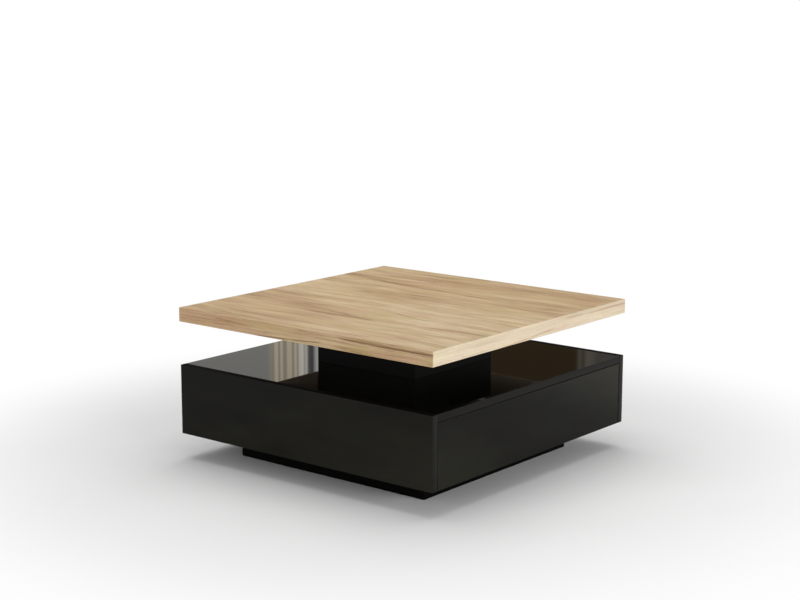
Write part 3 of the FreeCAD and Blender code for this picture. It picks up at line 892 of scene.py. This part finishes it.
def make_levers(drawer_body, inward):
    """Bent release levers on the drawer rails. Their spine is how far back and how far off."""
    thick = 0.0014
    half_tall = 0.0046
    section = [(0.0, half_tall), (thick, half_tall), (thick, -half_tall), (0.0, -half_tall)]
    spine = [(0.060, 0.0060), (0.072, 0.0050), (0.090, 0.0030),
             (0.108, 0.0024), (0.122, 0.0028), (0.130, 0.0044)]
    low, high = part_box(drawer_body + "_box_rails")
    front = low.y if inward > 0 else high.y
    middle = (low.z + high.z) / 2
    shape = ([], [])
    for side in (-1, 1):
        foot = side * (high.x - slide_steel)
        loft(shape, [[Vector((foot - side * (stand + into), front + inward * run, middle + rise))
                      for into, rise in section] for run, stand in spine])
    levers = add_piece(drawer_body + "_release_levers", shape, [moulded_plastic], drawer_body)
    tidy_normals(levers.data)
    rounded = levers.modifiers.new("rounded_edges", "BEVEL")
    rounded.width = 0.0004
    rounded.segments = 2


# Each slot is its share of the rail from the drawer's front end, its length and its radius.
cabinet_slots = [(0.045, 0.008, 0.0022), (0.2, 0.01, 0.0022), (0.33, 0.0, 0.0032),
                 (0.5, 0.012, 0.0022), (0.66, 0.0, 0.0032), (0.8, 0.01, 0.0022)]
middle_slots = [(0.05, 0.0, 0.0025), (0.24, 0.014, 0.003), (0.5, 0.014, 0.003),
                (0.76, 0.014, 0.003), (0.95, 0.0, 0.0025)]
box_slots = [(0.04, 0.006, 0.0021), (0.3, 0.008, 0.0021), (0.5, 0.0, 0.003),
             (0.7, 0.008, 0.0021), (0.96, 0.0, 0.0021)]
ball_steel = make_ball_steel()
for end, inward in (("front", 1), ("back", -1)):
    drawer_body = end + "_drawer"
    for kind, body, web_outside, slots, lug_rise in (
            ("_cabinet_rails", "base", True, cabinet_slots, 0.0042),
            ("_middle_rails", end + "_middle_rails", True, middle_slots, 0.0032),
            ("_box_rails", drawer_body, False, box_slots, None)):
        placed = [(share if inward > 0 else 1 - share, *size) for share, *size in slots]
        make_rail(drawer_body + kind, body, web_outside, placed, lug_rise)
    dress([drawer_body + "_outer_ball_strips", drawer_body + "_inner_ball_strips"], ball_steel)
    make_levers(drawer_body, inward)
make_screws("cabinet_rail_screws", "base")

# ---- Drawers -------------------------------
# Each drawer is a box of 12 mm boards in charcoal linen foil with a thin floor in a groove, cams
# to its gloss black face board, and screws through its sides into the back.


def make_linen(name, first_axis, second_axis):
    """Charcoal foil printed and pressed like linen, with threads along two axes."""
    finish = Finish(name, (40, 40, 41))
    first = finish.streak(0.0009, 24.0, first_axis)
    second = finish.streak(0.0009, 24.0, second_axis, offset=9.0)
    weave = (first + second) * 0.5
    finish.tint(weave.between(0.4, 0.6), (66, 66, 66))
    finish.tint(finish.blotch(0.09, 3.0, offset=4.0) * 0.25, (52, 51, 50))
    return finish.done(weave.spread(0.42, 0.62), weave, 0.00006, 1.4)


def make_drawer_fittings(drawer_body, outward):
    """Cams in the sides and their bolts in the face board, as one piece in two metals."""
    longest_cam = 0.02
    track = (0.0034, 0.0086)
    solids = solids_of(drawer_body + "_cams")
    shape = ([], [])
    for solid in solids:
        if solid.size.y < longest_cam:
            turned(shape, solid, X, math.copysign(1, solid.middle.x),
                   cam_rings(solid.size.z / 2, solid.size.x, track), unit(Y, outward))
    cam_faces = len(shape[1])
    for solid in solids:
        if solid.size.y >= longest_cam:
            turned(shape, solid, Y, -outward, bolt_rings(solid.size.z / 2, solid.size.y, bolt_bite))
    joined = add_piece("detailed_" + drawer_body + "_cams", shape, [cast_zinc, zinc_steel],
                       drawer_body, drawer_body + "_cams")
    for face in joined.data.polygons:
        face.material_index = int(face.index >= cam_faces)


grip_height = 0.0225
linen_side = make_linen("linen_foil_side", Y, Z)
linen_back = make_linen("linen_foil_back", X, Z)
linen_floor = make_linen("linen_foil_floor", X, Y)
for drawer_body, outward in (("front_drawer", -1), ("back_drawer", 1)):
    dress([drawer_body + "_front"], gloss_black_front)
    dress([drawer_body + "_left_side", drawer_body + "_right_side"], linen_side)
    dress([drawer_body + "_back"], linen_back)
    dress([drawer_body + "_floor"], linen_floor)

    low_face, high_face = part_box(drawer_body + "_front")
    thickness = (Y, low_face.y, high_face.y)
    height = (Z, low_face.z + grip_height, high_face.z)
    # Its bands carry painted light at their low-X end.
    add_bands(drawer_body + "_front_edge_bands", edge_painted_light, drawer_body,
              (unit(Z), high_face.z, thickness, (X, low_face.x, high_face.x)),
              *((unit(X, side), high_face.x, thickness, height) for side in (-1, 1)))
    make_drawer_fittings(drawer_body, outward)
    make_screws(drawer_body + "_screws", drawer_body)

# ---- Spacer block --------------------------
# Four black boards and a top board make a hollow block between the body and the tabletop. It
# stands on softwood posts that are screwed up from inside the body.

# Painted shade: the spacer's black is darker than the black melamine inside the body, as the shade
# under the tabletop.
dress(["spacer_front", "spacer_back", "spacer_left", "spacer_right", "spacer_top_board"],
      make_black_melamine("spacer_black", (4, 4, 3), (8, 8, 6), 0.3, 1.2))
dress(["spacer_posts"], make_softwood("post_wood", Z))
make_screws("spacer_screws", "base")

# ---- Swivel bearing ------------------------
# Two pressed, zinc-plated square plates, dull with grease, turn on a ring of steel balls in a flat
# cage. The lower one is screwed to the spacer block, the upper one under the tabletop.

bearing_zinc = make_zinc_steel("bearing_zinc", X, (78, 79, 80), (104, 105, 105))
dress(["bearing_lower_plate", "bearing_upper_plate"], bearing_zinc)
dress(["bearing_ball_cage", "bearing_balls"], ball_steel)
make_screws("bearing_lower_screws", "base")
make_screws("bearing_upper_screws", "tabletop")

# ---- Tabletop ------------------------------
# A thick board faced with oak-printed melamine, its grain running front to back, and a plain
# brown backing sheet below. Each edge carries a 2 mm band whose grain runs along it.


def line_on(along, across, start, end, width):
    """1 on a line from start to end, each (along, across), fading over width and at its ends."""
    middle = (start[0] + end[0]) / 2
    half = abs(end[0] - start[0]) / 2
    whole_share = 0.55
    off_line = abs(across - along.spread(start[1], end[1], start[0], end[0]))
    inside = abs(along - middle).between(half, half * whole_share)
    return inside * off_line.between(width, 0.0)


def highest(values):
    """The highest of some values, and at least 0."""
    top = values[0]
    for value in values[1:]:
        top = top.calc("MAXIMUM", value)
    return top.calc("MAXIMUM", 0.0)


def make_oak(name, grain, across, cracks, stains, tone_and_light_zones, sway, seed=0.0, pale=0.0,
             crack_shade=(104, 74, 48), crack_share=0.8):
    """Oak print with its grain along one axis.

    A crack is ((along, across), (along, across)); a stain is the same with its half width and its
    strength; a zone is a wide soft patch with how much darker, its tint and the share of the tint.
    A zone can be painted light or shade as well as the print's own tone.
    """
    crack_width = 0.0022
    finish = Finish(name)
    drift = finish.streak(0.10, 2.5, grain, 3.0, 31.0 + seed)
    shift = put(finish.tree, "CombineXYZ", {across: (drift - 0.5) * sway}).outputs[0]
    swayed = put(finish.tree, "VectorMath", {0: finish.place, 1: shift}, operation="ADD")
    finish.place = swayed.outputs[0]
    run, side = finish.along(unit(grain)), finish.along(unit(across))

    def streaks(size, length, detail, offset):
        return finish.streak(size, length, grain, detail, offset + seed)

    broad = streaks(0.085, 6.0, 2.0, 0.0)
    medium = streaks(0.028, 13.0, 3.0, 3.7)
    narrow = streaks(0.0065, 42.0, 4.0, 7.3)
    fine = streaks(0.0022, 90.0, 3.0, 9.1)
    flecks = streaks(0.0036, 28.0, 2.0, 13.0)
    pores = streaks(0.0008, 12.0, 1.0, 5.3)
    golden = streaks(0.024, 7.0, 3.0, 17.0)
    rosy = streaks(0.030, 6.0, 3.0, 23.0)
    ragged = streaks(0.006, 28.0, 4.0, 41.0)
    busy = streaks(0.045, 4.0, 2.0, 51.0).between(0.36, 0.60).spread(0.08, 0.40)

    level = broad * 0.32 + medium * 0.42 + (narrow - 0.5) * busy + 0.144
    stained = highest([line_on(run, side, start, end, width) * strength
                       for start, end, width, strength in stains])
    level = level - stained * ragged.spread(-0.06, 0.22)
    loose_run = run + medium.spread(-0.3, 0.3)
    tints = []
    for start, end, width, darker, shade, share in tone_and_light_zones:
        # A zone lightens or darkens the print: painted light and shade on the top, with the print's
        # tone in its tint.
        zone = line_on(loose_run, side, start, end, width)
        level = level - zone * darker
        tints.append((zone * share, shade))
    tone = put(finish.tree, "ValToRGB", {"Fac": level})
    ramp = tone.color_ramp.elements
    ramp[0].position, ramp[0].color = 0.36, paint(148, 111, 74)
    ramp[1].position, ramp[1].color = 0.60, paint(226, 204, 165)
    for position, shade in ((0.41, (174, 141, 102)), (0.46, (200, 169, 129)),
                            (0.52, (213, 186, 145))):
        ramp.new(position).color = paint(*shade)
    finish.colour = tone.outputs["Color"]
    tints += [(golden.between(0.48, 0.64) * 0.55, (192, 168, 110)),
              (rosy.between(0.48, 0.64) * 0.50, (200, 161, 130)),
              (fine.between(0.48, 0.62) * 0.45, (160, 126, 88)),
              (flecks.between(0.56, 0.66) * level.between(0.54, 0.44) * 0.65, (138, 104, 70))]
    for amount, shade in tints:
        finish.tint(amount, shade)
    if pale:
        finish.tint(pale, (206, 199, 184))
    crack = highest([line_on(run, side, start, end, crack_width) for start, end in cracks])
    finish.tint(crack * ragged.between(0.26, 0.46) * crack_share, crack_shade)
    pore = pores.between(0.6, 0.72)
    finish.tint(pore * 0.3, (124, 96, 68))
    return finish.done(narrow.spread(0.34, 0.54), fine * 0.5 - pore, 0.00004, 1.42)


golden_tint = (190, 156, 100)
grey_tint = (214, 200, 178)
brown_tint = (176, 134, 92)
top_cracks = [((0.42, -0.115), (0.17, -0.152)), ((-0.22, -0.042), (-0.56, -0.090)),
              ((0.36, -0.352), (0.10, -0.386)), ((0.10, -0.190), (-0.06, -0.218)),
              ((-0.20, 0.220), (-0.60, 0.200)), ((-0.05, -0.112), (-0.20, -0.15)),
              ((-0.22, -0.203), (-0.40, -0.199)), ((-0.02, 0.372), (-0.20, 0.334)),
              ((-0.24, -0.340), (-0.38, -0.336)), ((0.30, 0.29), (0.05, 0.26))]
top_stains = [
    ((-0.42, -0.385), (0.42, -0.380), 0.022, 0.5), ((-0.42, -0.335), (-0.22, -0.330), 0.010, 0.8),
    ((0.02, -0.352), (0.42, -0.318), 0.012, 1.0), ((-0.42, -0.198), (-0.18, -0.208), 0.012, 1.1),
    ((-0.10, -0.214), (0.14, -0.226), 0.018, 1.3), ((-0.42, -0.066), (-0.16, -0.056), 0.008, 0.9),
    ((0.12, -0.165), (0.42, -0.16), 0.012, 1.0), ((-0.42, 0.166), (0.02, 0.180), 0.010, 1.2),
    ((-0.44, 0.208), (-0.10, 0.198), 0.009, 1.4), ((0.08, 0.195), (0.42, 0.215), 0.018, 1.0),
    ((-0.42, 0.325), (0.10, 0.350), 0.014, 1.1), ((0.05, 0.345), (0.42, 0.370), 0.014, 0.9),
    ((-0.42, 0.262), (-0.24, 0.268), 0.006, 1.0), ((-0.42, 0.040), (-0.10, 0.030), 0.007, 0.8),
    ((0.00, -0.290), (0.30, -0.275), 0.006, 0.9)]
# On the top the zones are painted light and shade, lighter towards the front and the right and
# darker at the back left; their tints carry the print's golden and grey tone.
top_light_and_tone_zones = [((-1.60, -0.22), (0.10, -0.10), 0.36, -0.070, grey_tint, 0.12),
             ((-0.15, -0.25), (1.60, -0.20), 0.26, 0.075, golden_tint, 0.38),
             ((-0.15, -0.40), (1.40, -0.40), 0.09, 0.030, brown_tint, 0.25),
             ((-0.70, 0.28), (0.15, 0.26), 0.08, -0.035, golden_tint, 0.15)]
band_cracks = [((0.115, 0.3815), (0.215, 0.3762)), ((0.200, 0.3766), (0.43, 0.3775)),
               ((-0.15, 0.3512), (-0.02, 0.3560)), ((-0.03, 0.3556), (0.08, 0.3622))]
band_stains = [
    ((-0.42, 0.3545), (-0.10, 0.3555), 0.0040, 0.5), ((-0.16, 0.3510), (0.09, 0.3630), 0.0022, 0.8),
    ((-0.42, 0.3790), (-0.12, 0.3720), 0.0060, 0.6), ((0.10, 0.3800), (0.43, 0.3775), 0.0035, 0.9)]
band_zones = [((-0.80, 0.3700), (-0.05, 0.3700), 0.050, 0.045, (190, 142, 96), 0.35)]
short_band_zones = [((0.00, 0.3830), (0.80, 0.3770), 0.012, 0.040, (186, 142, 84), 0.45)]


def run_backwards(lines):
    """The same marks for a band whose print starts at the other end."""
    return [((-start[0], start[1]), (-end[0], end[1]), *rest) for start, end, *rest in lines]


dress(["tabletop_board"], make_oak("oak_print", Y, X, top_cracks, top_stains, top_light_and_tone_zones, 0.024))
dress(["edge_band_left", "edge_band_right"],
      make_oak("oak_band_long", Y, Z, *map(run_backwards, (band_cracks, band_stains, band_zones)),
               0.004, seed=2.0))
dress(["edge_band_front", "edge_band_back"],
      make_oak("oak_band_short", X, Z, band_cracks, band_stains, short_band_zones, 0.004, seed=11.0,
               pale=0.49, crack_shade=(157, 114, 56), crack_share=0.55))


def make_backing():
    """Thin brown backing paper, quite matt."""
    finish = Finish("brown_backing", (126, 111, 96))
    fibre = finish.streak(0.0015, 4.0, Y, 3.0)
    finish.tint(finish.blotch(0.05, 3.0), (141, 125, 109))
    finish.tint(fibre * 0.3, (107, 93, 79))
    return finish.done(fibre.spread(0.75, 0.95), fibre, 0.00004, 1.06)


low_table, high_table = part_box("tabletop_board")
sheet_proud = 0.00006
sheet_inset = 0.0002
sheet_thick = 0.0005
sheet_cells = 24
work = bmesh.new()
bmesh.ops.create_grid(work, x_segments=sheet_cells, y_segments=sheet_cells,
                      size=high_table.x - sheet_inset)
bmesh.ops.translate(work, verts=work.verts, vec=(0, 0, low_table.z - sheet_proud))
bmesh.ops.solidify(work, geom=work.faces[:], thickness=-sheet_thick)
bmesh.ops.recalc_face_normals(work, faces=work.faces)
backing = bpy.data.meshes.new("tabletop_backing_sheet")
work.to_mesh(backing)
work.free()
backing.materials.append(make_backing())
sheet = set_down("tabletop_backing_sheet", backing)
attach(sheet, "tabletop")
